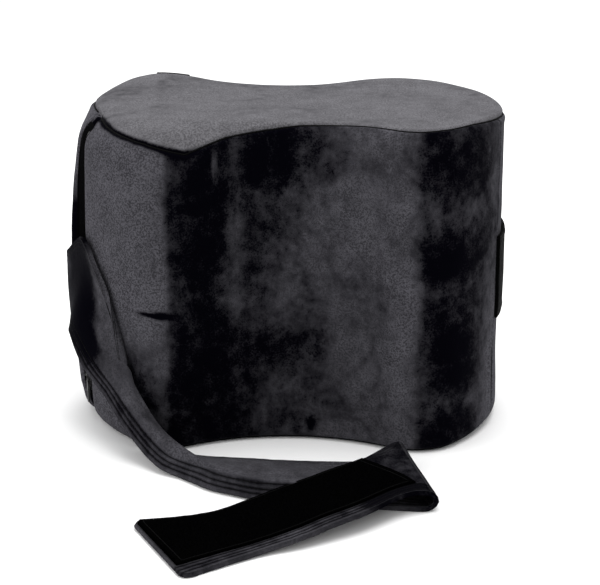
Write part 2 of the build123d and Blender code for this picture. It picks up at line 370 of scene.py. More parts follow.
# ---- the cushion's surface
def make_outline():
    """Dense points and outward directions of the hourglass, from the zip round the front."""
    pinch = (DEPTH - WAIST) / 2
    hollow_radius = (LOBE_X**2 + pinch**2) / (2 * pinch) - LOBE_RADIUS
    nose = LENGTH / 2 - LOBE_X
    end_radius = (nose**2 + (DEPTH / 2) ** 2 - DEPTH * LOBE_RADIUS) / (2 * (nose - LOBE_RADIUS))
    end_x = LENGTH / 2 - end_radius
    hollow = np.array([0, WAIST / 2 + hollow_radius])
    lobe = np.array([LOBE_X, DEPTH / 2 - LOBE_RADIUS])
    to_hollow, from_end = unit(hollow - lobe), unit(lobe - np.array([end_x, 0]))
    lean, open_ = np.arctan2(from_end[1], from_end[0]), np.arctan2(to_hollow[1], to_hollow[0])
    arcs = [
        (np.array([end_x, 0]), end_radius, 0, lean, 1),
        (lobe, LOBE_RADIUS, lean, open_, 1),
        (hollow, hollow_radius, open_ - pi, -pi / 2, -1),
    ]
    points, normals = [], []
    for middle, radius, first, last, sign in arcs:
        turn = np.linspace(first, last, 400)[:-1]
        ray = np.stack([np.cos(turn), np.sin(turn)], axis=1)
        points.append(middle + radius * ray)
        normals.append(sign * ray)
    quarter, outward = np.concatenate(points), np.concatenate(normals)
    quarter = np.concatenate([quarter, [[0, WAIST / 2]]])
    outward = np.concatenate([outward, [[0.0, 1.0]]])
    back, forth = slice(None, None, -1), slice(None)
    turns = [((-1, -1), forth), ((1, -1), back), ((1, 1), forth), ((-1, 1), back)]
    ring = np.concatenate([(quarter * mirror)[order][:-1] for mirror, order in turns])
    way = np.concatenate([(outward * mirror)[order][:-1] for mirror, order in turns])
    angle = np.degrees(np.arctan2(-ring[:, 1], -(ring[:, 0] + end_x)))
    start = np.argmin(np.abs(angle - ZIP_ANGLE) + (ring[:, 0] > 0) * 1000)
    ring, way = np.roll(ring, -start, axis=0), np.roll(way, -start, axis=0)
    gaps = np.linalg.norm(np.diff(np.concatenate([ring, ring[:1]]), axis=0), axis=1)
    travel = np.concatenate([[0], np.cumsum(gaps)])
    return np.concatenate([ring, ring[:1]]), np.concatenate([way, way[:1]]), travel, end_x


OUTLINE, OUTWARD, TRAVEL, END_X = make_outline()
ROUND = TRAVEL[-1]


def where(x, y):
    """Distance along the outline of the point nearest to (x, y)."""
    return TRAVEL[np.argmin(np.hypot(OUTLINE[:, 0] - x, OUTLINE[:, 1] - y))]


FRONT_CORNER = where(-56.5, -74)
END_RADIUS = LENGTH / 2 - END_X
END_SEAM = where(END_X + END_RADIUS * np.cos(radians(SEAM_ANGLE)),
                 -END_RADIUS * np.sin(radians(SEAM_ANGLE)))
LABEL_FROM, LABEL_TO = where(-67, 78.3), where(-90, 74)
STRAP_ROOT = ROUND - 16.0     # the strap leaves the cover just behind the zip
STRAP_SEWN = ROUND - 36.0     # and is sewn down from here


def along_outline(s, stations):
    """A value that changes smoothly round the outline, from (distance, value) pairs."""
    stations = sorted(stations)
    places = np.array([place for place, _ in stations])
    values = np.array([value for _, value in stations])
    places = np.concatenate([[places[-1] - ROUND], places, [places[0] + ROUND]])
    values = np.concatenate([values[-1:], values, values[:1]])
    return np.interp(s % ROUND, places, values)


def top_round(s):
    """Radius of the top edge: soft at the left end and the front's left lobe, tight elsewhere."""
    return along_outline(s, [
        (0, 21), (where(-110, -50), 22), (where(-80, -77), 23), (FRONT_CORNER, 26),
        (where(-47, -69), 19), (where(-36, -66), 13), (where(-25, -62), 10), (where(-10, -60), 8),
        (where(73, -78.5), 7), (where(125, 0), 7), (where(73, 78.5), 7), (where(-40, 67), 7),
        (where(-100, 66), 9), (ROUND - 40, 13), (ROUND - 10, 19),
    ])


def bottom_round(s):
    """Radius of the bottom edge."""
    return along_outline(s, [
        (0, 11), (where(-100, -65), 12), (where(-75, -78), 7), (where(90, -74), 7),
        (where(118, -35), 10), (where(125, 0), 7), (where(73, 78.5), 7), (where(-100, 66), 8),
    ])


def even_ring(reach=14.0, step=0.5):
    """The flat top's outer line, evened out along it so that the cover's grid inside can't fold over."""
    ring = OUTLINE - OUTWARD * top_round(TRAVEL)[:, None]
    places = np.arange(0, ROUND, step)
    count = int(reach / step)
    weights = np.hanning(2 * count + 1)
    columns = []
    for axis in (0, 1):
        values = np.interp(places, TRAVEL, ring[:, axis])
        wrapped = np.concatenate([values[-count:], values, values[:count]])
        columns.append(np.convolve(wrapped, weights / weights.sum(), mode="valid"))
    return places, columns


RING_PLACES, RING = even_ring()


def seam_level(s):
    """How far down the profile the top seam runs, from where the top edge starts to round."""
    return along_outline(s, [
        (0, 10.5), (8, 12.0), (16, 13.0), (where(-112, -47), 14.5), (where(-104, -59), 16.5),
        (where(-94, -71), 18.0), (where(-82, -77), 20.0), (where(-71, -78.4), 23.5),
        (FRONT_CORNER, 28.5), (where(-47, -69), 21.0), (where(-36, -65), 13.6),
        (where(-25, -62), 9.9), (where(-13, -60), 7.2), (where(6, -59), 4.0),
        (where(40, -67), 2.0), (where(73, -78.5), 2.6),
        (where(88, -75), 1.6), (where(105, -57), 2.0), (where(118, -32), 5.0), (where(125, 0), 8.0),
        (where(100, 64), 8.0), (where(-60, 76), 8.0), (where(-110, 50), 8.0), (ROUND - 12, 9.5),
    ])


# How far the left end puffs out at each height, and how that spreads either side of the zip.
PUFF = [(0, 0.6), (5, 3.0), (20, 6.2), (40, 8.0), (80, 9.0), (118, 8.6), (130, 7.7), (150, 5.8),
        (160, 4.2), (170, 2.6), (180, 0.2), (190, 0.0)]
PUFF_SPREAD = [(-130, 0.0), (-80, 0.30), (-50, 0.75), (-25, 1.0), (-10, 1.0), (-8.6, 0.93), (-7.8, 0.72),
               (-7.2, 0.40), (-6.6, 0.08), (-6.2, 0.0), (6.2, 0.0), (7.2, 0.16), (10, 0.25),
               (20, 0.14), (40, 0.0)]


def opening(s, w, edge=0.0, narrow=3.6):
    """1 inside the opening over the zip, 0 outside it; the opening narrows towards the top seam."""
    closing = smooth_step(w, level(s, ZIP_TOP), seam_level(s) + 2)
    reach = SLOT_HALF + edge - narrow * closing
    return smooth_step(np.abs(from_zip(s, w)), reach + SLOT_EDGE, reach)


def table(value, pairs):
    """Look a value up between (position, value) pairs."""
    return np.interp(value, [a for a, _ in pairs], [b for _, b in pairs])


def zip_drift(s, w):
    """How far the opening over the zip leans to the front as it nears the top seam."""
    return 8.0 * smooth_step(w, level(s, ZIP_TOP - 4), seam_level(s) + 1)


def near_zip(s):
    """Distance round the outline from the zip, negative towards the rear."""
    return (s + ROUND / 2) % ROUND - ROUND / 2


def lean_share(near):
    """The lean's share: whole beside the zip, and none past 40 mm from it."""
    return smooth_step(np.abs(near), 40, 12)


def from_zip(s, w):
    """Signed distance from the opening's middle: positive round the front, negative round the rear."""
    near = near_zip(s)
    lean = zip_drift(s, w)
    rest = near
    for _ in range(3):
        rest = near - lean * lean_share(rest)
    return rest


def profile(s, w):
    """Base point and outward direction at distance s round the outline and w down the profile."""
    s, w = np.broadcast_arrays(np.asarray(s, float), np.asarray(w, float))
    turn = s % ROUND
    x, y = (np.interp(turn, TRAVEL, OUTLINE[:, i]) for i in (0, 1))
    nx, ny = (np.interp(turn, TRAVEL, OUTWARD[:, i]) for i in (0, 1))
    upper, lower = top_round(s), bottom_round(s)
    side_from = upper * pi / 2
    side_to, floor_from = profile_length(s)
    angle = np.where(w < side_from, np.clip(w, 0, None) / upper, pi / 2)
    angle = np.where(w > side_to, pi / 2 + np.clip(w - side_to, 0, lower * pi / 2) / lower, angle)
    radius = np.where(w < (side_from + side_to) / 2, upper, lower)
    inset = radius * (1 - np.sin(angle))
    z = np.where(w < side_from, HEIGHT - upper * (1 - np.cos(angle)), HEIGHT - upper - (w - side_from))
    z = np.where(w > side_to, lower * (1 + np.cos(angle)), z)
    px, py = x - nx * inset, y - ny * inset
    reach = np.hypot(px, py)
    inward = smooth_step(-w, -3, 6)
    px = px + inward * (np.interp(turn, RING_PLACES, RING[0], period=ROUND) - px)
    py = py + inward * (np.interp(turn, RING_PLACES, RING[1], period=ROUND) - py)
    share = np.where(w < 0, 1 + w / reach, 1.0)
    share = np.where(w > floor_from, 1 - (w - floor_from) / reach, share)
    share = np.clip(share, 0, 1)
    point = np.stack([px * share, py * share, z], axis=-1)
    normal = np.stack([nx * np.sin(angle), ny * np.sin(angle), np.cos(angle)], axis=-1)
    return point, unit(normal), angle


def profile_length(s):
    """Where the side ends and where the bottom face starts, down the profile."""
    upper, lower = top_round(s), bottom_round(s)
    side_to = upper * pi / 2 + HEIGHT - upper - lower
    floor_from = side_to + lower * pi / 2
    return side_to, floor_from


def bottom_seam(s):
    """How far down the profile the bottom seam runs."""
    return profile_length(s)[0] + 0.9 * bottom_round(s)


def level(s, z):
    """Distance down the profile at height z on the side."""
    upper = top_round(s)
    return upper * pi / 2 + HEIGHT - upper - z


def swell(s, w, point, angle):
    """How far the soft cover stands out from the plain shape."""
    x, y, z = point[..., 0], point[..., 1], point[..., 2]
    near = from_zip(s, w)
    side = np.sin(angle)
    out = table(z, PUFF) * table(near, PUFF_SPREAD) * side
    # the top face's crown, fullest over the rear left lobe
    top = smooth_step(angle, 1.2, 0.2)
    crown = 4.7 * bump(x, -92, 29) * bump(y, 60, 42) + 2.4 * bump(x, 48, 26) * bump(y, 62, 35)
    out += top * (0.8 + crown)
    # loose ripples of the cover on its sides
    calm = smooth_step(z, 0, 14)
    out += calm * (0.55 * ripple(point * [1, 1, 0.5], 38, 1) + 0.22 * ripple(point, 13, 2)) * side
    # hollow below the patch, and the small folds between it and the floor
    past = s - END_SEAM
    out += -1.0 * bump(past, 14, 26) * bump(z, 48, 22) * side
    folds = np.sin(past * 1.05 + 0.03 * z) * bump(past, -6, 11) * bump(z, 38, 26)
    out += 0.75 * folds * side
    # pinched gathers where the zip meets the top seam
    pinch = np.sin(near * 1.25 + 0.12 * z) * bump(near, -6, 12) * bump(z, 178, 12)
    out += 0.6 * pinch * side
    # short crease and dent in the front's left part, and one low in the middle
    out += -0.9 * bump(z, 83 - 0.06 * (x + 76), 1.6) * bump(x, -77, 9) * (y < -50)
    out += -0.7 * bump(z, 11, 5) * bump(x, 12, 3.5) * (y < -50)
    return out


def cover_surface(s, w, lift=0.0, seams=True):
    """Points of the finished cover, moved outwards by lift, and their outward directions."""
    s, w = np.broadcast_arrays(np.asarray(s, float), np.asarray(w, float))
    point, normal, angle = profile(s, w)
    out = swell(s, w, point, angle) + lift
    if seams:
        # each seam is a groove between two raised lips, and the zip lies in a slot
        side_to, _ = profile_length(s)
        gap = w - seam_level(s)
        out = out - 1.1 * bump(gap, 0, 0.8) + 0.45 * bump(gap, -2.4, 1.5) + 0.55 * bump(gap, 2.4, 1.5)
        low = w - bottom_seam(s)
        out = out - 0.5 * bump(low, 0, 0.8) + 0.2 * bump(np.abs(low), 2.4, 1.4)
        end = s - END_SEAM
        on_side = smooth_step(gap, 0, 3) * smooth_step(low, -4, -8)
        out = out + on_side * (0.5 * bump(np.abs(end), 2.0, 1.2) - 1.1 * bump(end, 0, 0.7))
        slot = opening(s, w)
        room = smooth_step(gap, 0.5, 4) * smooth_step(w, side_to, side_to - 4)
        out = out * (1 - slot * room) - SLOT_DEPTH * slot * room
    return point + normal * out[..., None], normal


def cover_grid():
    """Distances round and down the cover for its grid, closer together at the zip and the seams."""
    around = [0, 1.4, 2.8, 4.2, 5.6, 6.0, 6.3, 6.6, 6.9, 7.3, 7.8, 8.4, 9.2, 10.4, 12]
    ends = [-12, -10.4, -9.2, -8.4, -7.8, -7.3, -6.9, -6.6, -6.3, -6.0, -5.6, -4.2, -2.8, -1.4]
    fine = END_SEAM + np.array([-6, -4.5, -3.2, -2.2, -1.4, -0.7, 0, 0.7, 1.4, 2.2, 3.2, 4.5, 6])
    first = np.linspace(12, fine[0], int((fine[0] - 12) / 1.9))[1:-1]
    second = np.linspace(fine[-1], ROUND - 12, int((ROUND - 12 - fine[-1]) / 1.9))[1:-1]
    s = np.concatenate([around, first, fine, second, ROUND + np.array(ends)])
    top = seam_level(s)
    _, floor_from = profile_length(s)
    low = bottom_seam(s)
    point, _, _ = profile(s, 0 * s)
    reach_top = np.hypot(point[:, 0], point[:, 1])
    point, _, _ = profile(s, floor_from)
    reach_low = np.hypot(point[:, 0], point[:, 1])
    steps = np.array([0.0, 0.5, 1.0, 1.7, 2.5, 3.5, 5.0])
    beside = steps[-1]
    almost = 0.9985           # the grid stops just short of the middle, and a fan of faces closes it
    rows = []
    edge = top - beside
    for share in np.linspace(1, 0, 46)[:-1]:
        rows.append(edge + (-reach_top - edge) * share * almost)
    rows += [top - step for step in steps[::-1]]
    rows += [top + step for step in steps[1:]]
    for share in np.linspace(0, 1, 92)[1:-1]:
        rows.append(top + beside + (low - beside - (top + beside)) * share)
    rows += [low - step for step in steps[::-1]]
    rows += [low + step for step in steps[1:]]
    edge = low + beside
    for share in np.linspace(0, 1, 26)[1:]:
        rows.append(edge + (floor_from + reach_low - edge) * share * almost)
    w = np.array(rows)
    s = np.broadcast_to(s, w.shape)
    return s + zip_drift(s, w) * lean_share(near_zip(s)), w


# How dark the front is painted, from left to right: the pile's dark bands, and painted shade that keeps
# the front darker than the left face.
FRONT_NAP_AND_SHADE = [
    (-130, -0.25), (-85, -0.20), (-74, -0.05), (-71, 0.18), (-67, 0.78), (-60, 0.92), (-48, 0.94),
    (-38, 0.84), (-31, 0.52), (-24, 0.84), (-12, 0.76), (0, 0.58), (18, 0.44), (35, 0.30), (52, 0.20),
    (65, 0.04), (71, 0.24), (77, 0.70), (88, 0.90), (98, 0.86), (108, 0.72), (116, 0.48), (124, 0.15),
]
# Where the hanging strap's far edge passes in front of the left face: height, then x.
STRAP_PASSES = [(0, -76), (14, -80), (28, -84.5), (42, -91.5), (56, -98.5), (74, -102), (93, -107)]


def side_nap_and_shade(point):
    """The cover's sides: the pile's dark bands and marks, with painted shade beside the strap and in a
    crease and a dent, and painted sheen at the right end.
    """
    x, y, z = point[..., 0], point[..., 1], point[..., 2]
    front = table(x, FRONT_NAP_AND_SHADE)
    # the left band: darker under the top seam, a lighter cloud, the light streak's end, a thin mark
    front += 0.32 * bump(x, -8, 26) * smooth_step(z, 138, 172)
    front -= 0.34 * bump(x, -36, 13) * bump(z, 97, 17)
    front += 0.34 * bump(x, -31, 8) * smooth_step(z, 90, 55)
    front -= 0.75 * bump(x, -42, 1.1) * bump(z, 168, 11)
    # the left face, with painted shadow low down and beside the strap
    front += 0.60 * bump(x - table(z, STRAP_PASSES), 2, 9) * smooth_step(z, 100, 70)
    front += 0.42 * bump(x, -83, 15) * smooth_step(z, 98, 45)
    # the right band's dark and light bars, and painted sheen lightening the right end low down
    bars = sum(bump(z, at, 13) for at in (171, 116, 58)) - sum(bump(z, at, 9) for at in (144, 98, 30))
    front += 0.24 * bump(x, 98, 22) * bars
    front -= 0.60 * bump(x, 122, 10) * smooth_step(z, 112, 60)
    # painted shade in the short crease on the left face and in the small dent low in the middle
    front += 2.0 * bump(z, 83 - 0.06 * (x + 76), 1.1 + 1.3 * bump(x, -71, 5)) * bump(x, -77, 9)
    front += 1.0 * bump(z, 10, 4.5) * bump(x, 12, 2.2)
    rear = 0.05 + 0.68 * table(-x, FRONT_NAP_AND_SHADE)
    rear_share = smooth_step(y, 5, 40)
    return front * (1 - rear_share) + rear * rear_share


def top_nap_and_shade(point):
    """Faint dark clouds on the top face, with painted shade at the seam's front-left corner and towards
    the left end.
    """
    x, y = point[..., 0], point[..., 1]
    return (-0.06 + 0.40 * bump(x, -58, 12) * bump(y, -74, 6) + 0.10 * bump(x, 98, 24) * bump(y, -20, 34)
            + 0.14 * bump(x, -108, 26) + 0.08 * bump(y, 30, 22))


def closed_grid(points):
    """Points and faces of a grid that goes right round, closed by a fan at its first and last rows."""
    rows, columns = points.shape[:2]
    hubs = np.stack([points[0].mean(axis=0), points[-1].mean(axis=0)])
    faces = grid_faces(rows, columns, wrap=True)
    top, low = rows * columns, rows * columns + 1
    last = (rows - 1) * columns
    for column in range(columns):
        after = (column + 1) % columns
        faces.append((top, column, after))
        faces.append((low, last + after, last + column))
    return np.concatenate([points.reshape(-1, 3), hubs]), faces


def make_cover():
    """The velour cover, with its painted pile, painted shade and painted top light."""
    s, w = cover_grid()
    points, _ = cover_surface(s, w)
    points[..., 2] = np.maximum(points[..., 2], 0.0)
    flat, faces = closed_grid(points)
    on_top = (w <= seam_level(s)).ravel()
    on_top = np.concatenate([on_top, [True, False]])
    nap_and_shade = np.where(on_top, top_nap_and_shade(flat), side_nap_and_shade(flat))
    # painted shade: darkest along the seam's left front, inside the opening, and where the strap leaves
    # behind it
    beside_seam = bump(w - seam_level(s), 0.3, 2.1) * smooth_step(points[..., 0], -48, -60)
    beside_seam *= smooth_step(near_zip(s), 4, 8) * (points[..., 1] < 0)
    in_opening = opening(s, w, edge=0.7, narrow=2.2) * (w > seam_level(s))
    past_zip = from_zip(s, w)
    behind = smooth_step(past_zip, -17, -10) * (past_zip < 0) * bump(points[..., 2], 114, 30)
    nap_and_shade[:-2] += (1.6 * beside_seam + 1.4 * in_opening + 1.7 * behind).ravel()
    # "pale" lightens the whole top face: painted light from above
    paint = {"nap_and_shade": nap_and_shade, "pale": on_top.astype(float)}
    cover = mesh_object("cushion_cover", flat, faces, cover_velour, paint)
    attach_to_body(cover, "cushion")
    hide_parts("top_panel", "bottom_panel", "front_panel", "rear_panel")


def inner_layer(name, depth, material, node):
    """A closed layer that follows the cover from inside, deeper behind the zip."""
    s, w = cover_grid()
    s, w = s[::3, ::3], w[::3, ::3]
    behind_zip = smooth_step(np.abs(from_zip(s, w)), 26, 14)
    points, _ = cover_surface(s, w, lift=-depth - 7.0 * behind_zip, seams=False)
    points[..., 2] = np.maximum(points[..., 2], 0.2 + 0.4 * depth)
    flat, faces = closed_grid(points)
    layer = mesh_object(name, flat, faces, material)
    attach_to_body(layer, "cushion")
    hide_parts(node)


make_cover()
inner_layer("liner_sleeve", 2.2, liner_knit, "inner_liner")
inner_layer("foam_block", 4.0, foam_cream, "foam_core")


# ---- seams, patch, label
def seam_lines():
    """A raised line of thread along each seam; the two long ones stop either side of the zip."""
    s = np.linspace(0, ROUND, 420)
    clear = np.abs(near_zip(s)) > 7.5
    top, _ = cover_surface(s, seam_level(s), lift=SEAM_THREAD)
    bottom, _ = cover_surface(s, bottom_seam(s), lift=0.3)
    w = np.linspace(seam_level(END_SEAM) + 1, profile_length(END_SEAM)[0], 120)
    end, _ = cover_surface(END_SEAM, w, lift=SEAM_THREAD)
    for name, path in (("top", top[clear]), ("bottom", bottom[clear]), ("end", end)):
        line = tube_mesh("seam_" + name, [path], SEAM_THREAD, thread_black)
        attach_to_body(line, "cushion")
        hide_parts(name + "_seam_binding")


def patch_stitches(lift=2.35, inset=2.2):
    """One closed line of stitching set in from the hook patch's edges."""
    s0, s1 = END_SEAM + inset, END_SEAM + PATCH_RUN - inset
    z0, z1 = PATCH_LOW + inset, PATCH_HIGH - inset
    corners = [(s0, z0), (s1, z0), (s1, z1), (s0, z1), (s0, z0)]
    route = []
    for (sa, za), (sb, zb) in zip(corners, corners[1:]):
        for share in np.linspace(0, 1, 24)[:-1]:
            route.append((sa + (sb - sa) * share, za + (zb - za) * share))
    route = np.array(route + [corners[0]])
    points, _ = cover_surface(route[:, 0], level(route[:, 0], route[:, 1]), lift=lift, seams=False)
    stitches = tube_mesh("hook_patch_thread", [points], PATCH_THREAD, thread_grey)
    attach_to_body(stitches, "cushion")
    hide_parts("hook_patch_stitching")


def hook_patch():
    """The square of hook tape on the right end."""
    s = np.linspace(END_SEAM + 0.3, END_SEAM + PATCH_RUN, 36)
    s, z = np.meshgrid(s, np.linspace(PATCH_HIGH, PATCH_LOW, 36), indexing="ij")
    middle, normals = cover_surface(s, level(s, z), lift=1.4, seams=False)
    patch = slab_mesh("hook_patch_tape", middle, normals, 0.9, hook_black)
    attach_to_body(patch, "cushion")
    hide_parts("hook_patch")


def care_label():
    """The plain ribbon that hangs from the rear seam."""
    s = np.linspace(LABEL_FROM, LABEL_TO, 14)
    w = np.linspace(2.5, float(level(LABEL_FROM, LABEL_BOTTOM)), 30)
    s, w = np.meshgrid(s, w, indexing="ij")
    middle, normals = cover_surface(s, w, lift=0.5 + 0.2 * bump(w, 8, 5), seams=False)
    label = slab_mesh("blank_label", middle, normals, 0.35, label_satin)
    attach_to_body(label, "cushion")
    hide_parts("care_label")


seam_lines()
hook_patch()
patch_stitches()
care_label()


# ---- zip
COIL_PITCH = 1.7
TAPE_LEVEL = -2.9         # the tapes lie this far below the side's plain shape
TAPE_OFFSETS = {          # from the zip's middle; the rear tape climbs further up the opening's wall
    "front": [0.85, 2.5, 4.5, 6.0, 6.5, 6.9],
    "rear": [-0.85, -2.5, -4.5, -6.0, -6.4, -6.8, -7.2, -7.6],
}


def zip_tapes():
    """Each tape lies in the slot and, at the rear, climbs the wall of the puffed-out cover."""
    down = np.linspace(0, 1, 90)
    for name, offsets in TAPE_OFFSETS.items():
        s, share = np.meshgrid(np.array(offsets), down, indexing="ij")
        w = (seam_level(s) + 1.5) * (1 - share) + level(s, 11) * share
        s = s + zip_drift(s, w)
        point, normal, angle = profile(s, w)
        in_slot = np.abs(from_zip(s, w)) < SLOT_HALF + 0.2
        out = np.where(in_slot, TAPE_LEVEL, swell(s, w, point, angle) - 0.1)
        middle = point + normal * out[..., None]
        across = np.gradient(middle, axis=0)
        facing = unit(np.cross(across, np.gradient(middle, axis=1)))
        facing *= np.sign((facing * normal).sum(axis=-1, keepdims=True))
        tape = slab_mesh("zip_tape_" + name, middle, facing, 0.3, zip_cloth)
        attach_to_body(tape, "cushion")
        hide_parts("zipper_tape_" + name)


def zip_coils():
    """A nylon coil along the inner edge of each tape, and the stop above them."""
    for name, side in (("front", 1), ("rear", -1)):
        w = np.linspace(float(level(0, ZIP_TOP - 3)), float(level(0, 14)), 1150)
        turn = (w - w[0]) * 2 * pi / COIL_PITCH
        near = side * (1.75 + 1.05 * np.cos(turn))
        s = (near + zip_drift(near % ROUND, w)) % ROUND
        point, normal, _ = profile(s, w)
        path = point + normal * (-2.35 + 0.55 * np.sin(turn))[:, None]
        coil = tube_mesh("zip_coil_" + name, [path], 0.36, zip_nylon, sides=5)
        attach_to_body(coil, "cushion")
        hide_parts("zipper_teeth_" + name)
    down = np.linspace(0, 2.6, 6) + float(level(0, ZIP_TOP))
    s, w = np.meshgrid(np.linspace(-2.6, 2.6, 9), down, indexing="ij")
    s = (s + zip_drift(s % ROUND, w)) % ROUND
    point, normal, _ = profile(s, w)
    stop = slab_mesh("zip_top_stop", point - normal * 2.6, normal, 0.9, zip_metal)
    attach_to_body(stop, "cushion")
    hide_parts("zipper_top_stop")


zip_tapes()
zip_coils()


# ---- strap
# The strap's layout, station by station: upper or far edge, lower or near edge, step from the lower
# edge to the ridge, depth of the valley.
HANGING = [
    ((-122, -39, 117.5), (-133, -28.5, 56.5), (2.5, -4, 7), 3),
    ((-113.5, -54.5, 105), (-122, -52, 42.5), (6.5, -4, 8), 5),
    ((-106.8, -62.8, 92.7), (-107.5, -73, 33), (6, -4, 7), 6),
    ((-102, -68, 73.8), (-95.5, -90, 22), (6, -2, 8), 6),
    ((-98.5, -71.5, 56), (-83, -101, 10), (6, 0, 11), 5),
    ((-91.5, -77, 42), (-72, -111, 4), (6, 1, 11.5), 4),
    ((-84.5, -80.5, 28), (-60, -118, 1.6), (6, 1, 11), 2),
    ((-80, -81.5, 14), (-50, -127, 1.6), (5, 1, 11), 0),
    ((-70, -86, 4), (-42, -134, 1.6), (3.5, 1, 11), -1),
    ((-52, -91, 1.6), (-30, -140, 1.6), (2.5, 1, 10.5), -2),
    ((-28, -94, 1.6), (-13, -147, 1.6), (1, 2, 9.5), -2),
    ((0, -97, 1.6), (14, -151, 1.6), (0, 3, 7.5), -1),
    ((28, -98, 1.6), (42, -156, 1.6), (0, 5, 3.5), 0),
    ((52, -97, 1.6), (68, -158, 1.6), (0, 7, 0.5), 0),
]
# The fold at the front and the run back to the free end: far edge, near edge.
FOLDED = [
    ((61, -95.5, 1.8), (77, -158, 1.6)),
    ((66, -95, 8.0), (82, -157, 5.6)),
    ((61, -98.5, 14.5), (77, -157.5, 10.6)),
    ((43.6, -117.5, 12.5), (64, -163, 11.2)),
    ((21.5, -133, 10.5), (43, -183, 10.2)),
    ((0, -148, 8.4), (24.9, -195.5, 8.2)),
    ((-18.5, -158.5, 5.0), (9.6, -205, 5.6)),
    ((-36.7, -168.5, 2.2), (-8, -213, 2.6)),
    ((-58, -175.5, 1.6), (-27.7, -226, 1.6)),
    ((-80, -179.5, 1.6), (-47.3, -242, 1.6)),
]
SEWN_SPAN = 54.0          # the strap's height where it is sewn on
SHARES = np.array([0, 0.09, 0.165, 0.28, 0.60, 1.0])      # each rail's place across the flat strap
# The grid's columns across the strap, closer together at its stitching, and its rows along it.
ACROSS = np.array([0, 0.6, 1.6, 2.6, 4.0, 5.4, 7.0, 8.6, 10, 13, 16, 18.5, 21, 25, 29, 33, 37, 41,
                   45, 49, 52.5, 55, 57, 58.4, 59.6, 60.6, 61.4, 62])
ROWS = 210


def rails():
    """Rails along the strap: lower edge, hem, ridge, shoulder, valley and upper edge."""
    stations = []
    for s, foot in ((STRAP_SEWN, 42.0), ((STRAP_SEWN + STRAP_ROOT) / 2, 44.0), (STRAP_ROOT, 48.0)):
        points, _ = cover_surface(s, level(s, foot + SEWN_SPAN * SHARES), lift=1.4, seams=False)
        stations.append(points)
    route = HANGING + [(far, near, None, 0) for far, near in FOLDED]
    route = [(np.array(u, float), np.array(v, float), step, valley) for u, v, step, valley in route]
    for index, (upper, lower, step, valley) in enumerate(route):
        before = route[max(index - 1, 0)]
        after = route[min(index + 1, len(route) - 1)]
        forward = (after[0] + after[1] - before[0] - before[1]) / 2
        face_side = unit(np.cross(forward, upper - lower))
        ridge = lower + (np.array(step) if step else (upper - lower) * SHARES[2])
        dip = ridge * 0.48 + upper * 0.52 - face_side * valley
        hem = lower * 0.45 + ridge * 0.55
        shoulder = ridge * 0.72 + dip * 0.28
        stations.append(np.array([lower, hem, ridge, shoulder, dip, upper]))
    return np.array(stations)


def strap_surface():
    """The strap's middle surface as a grid of rows along it and columns across it."""
    along = spline(rails(), ROWS)
    grid = np.zeros((ROWS, len(ACROSS), 3))
    for row in range(ROWS):
        fine = spline(along[row], 125)
        places = np.linspace(0, STRAP_WIDTH, 125)
        for axis in range(3):
            grid[row, :, axis] = np.interp(ACROSS, places, fine[:, axis])
    return grid


def round_corners(grid, radius=6.0, reach=8):
    """Pull the two corners of the free end back along the strap."""
    within = np.clip(radius - np.minimum(ACROSS, STRAP_WIDTH - ACROSS), 0, None)
    step = np.linalg.norm(grid[-1] - grid[-2], axis=1).mean()
    back = (radius - np.sqrt(radius**2 - within**2)) / step
    rows = np.arange(ROWS)
    for column in range(len(ACROSS)):
        last = rows[-reach - 1:]
        wanted = last[0] + (last - last[0]) * (reach - back[column]) / reach
        moved = [np.interp(wanted, rows, grid[:, column, axis]) for axis in range(3)]
        grid[-reach - 1:, column] = np.stack(moved, axis=1)
    return grid


def fold_rows(grid):
    """The rows where the floor run ends and where the return run begins."""
    middle = grid.mean(axis=1)
    tip = np.argmax(middle[:, 0])
    start = tip - np.argmax(middle[tip::-1, 2] < 3.2)
    stop = tip + np.argmax(middle[tip:, 2] > 11.0)
    return start, stop


strap = round_corners(strap_surface())
down_strap = np.gradient(strap, axis=0)
over_strap = np.gradient(strap, axis=1)
strap_facing = unit(np.cross(down_strap, over_strap))
FOLD_START, FOLD_STOP = fold_rows(strap)
from_edge = np.minimum(ACROSS, STRAP_WIDTH - ACROSS)
thickness = STRAP_HALF + 0.15 * smooth_step(from_edge, 10, 8)
thickness = thickness - 0.25 * sum(bump(from_edge, at, 0.6) for at in STITCH_ROWS)
ruffle = 0.18 * ripple(strap, 5, 4) * smooth_step(from_edge, 12, 4)
soft = 0.5 * ripple(strap, 30, 5) * (strap[..., 2] > 6)
strap = strap + strap_facing * (ruffle + soft)[..., None]
strap[..., 2] = np.maximum(strap[..., 2], STRAP_HALF + 0.15)


def strap_nap_and_shade():
    """Painted shade on the standing hem, in the valley and over the fold, and darker along the stitch
    rows and above the floor; the flat face stays lightest.
    """
    x, y, z = strap[..., 0], strap[..., 1], strap[..., 2]
    column = np.broadcast_to(ACROSS, x.shape)
    row = np.broadcast_to(np.arange(ROWS)[:, None], x.shape)
    # painted shade on the standing hem, and darker above the floor
    nap_and_shade = 0.16 + 0.22 * smooth_step(column, 11, 8) + 0.12 * smooth_step(z, 8, 30)
    # painted shadow in the cupped valley of the hanging part
    middle = -122 + 6 * smooth_step(z, 66, 50) - 4 * smooth_step(z, 95, 114)
    valley = smooth_step(np.abs(x - middle), 12, 2) * smooth_step(z, 40, 58)
    valley = 1.15 * valley + 0.42 * smooth_step(x, -122, -129)
    nap_and_shade += (row < FOLD_START) * smooth_step(y, 6, -8) * valley
    # painted shade over the fold and the start of the run back
    into_fold = smooth_step(row, FOLD_START - 8, FOLD_START)
    nap_and_shade += 0.56 * into_fold * smooth_step(row, FOLD_STOP + 24, FOLD_STOP + 14)
    nap_and_shade += 0.45 * sum(bump(column, at, 0.7) for at in STITCH_ROWS)
    return nap_and_shade


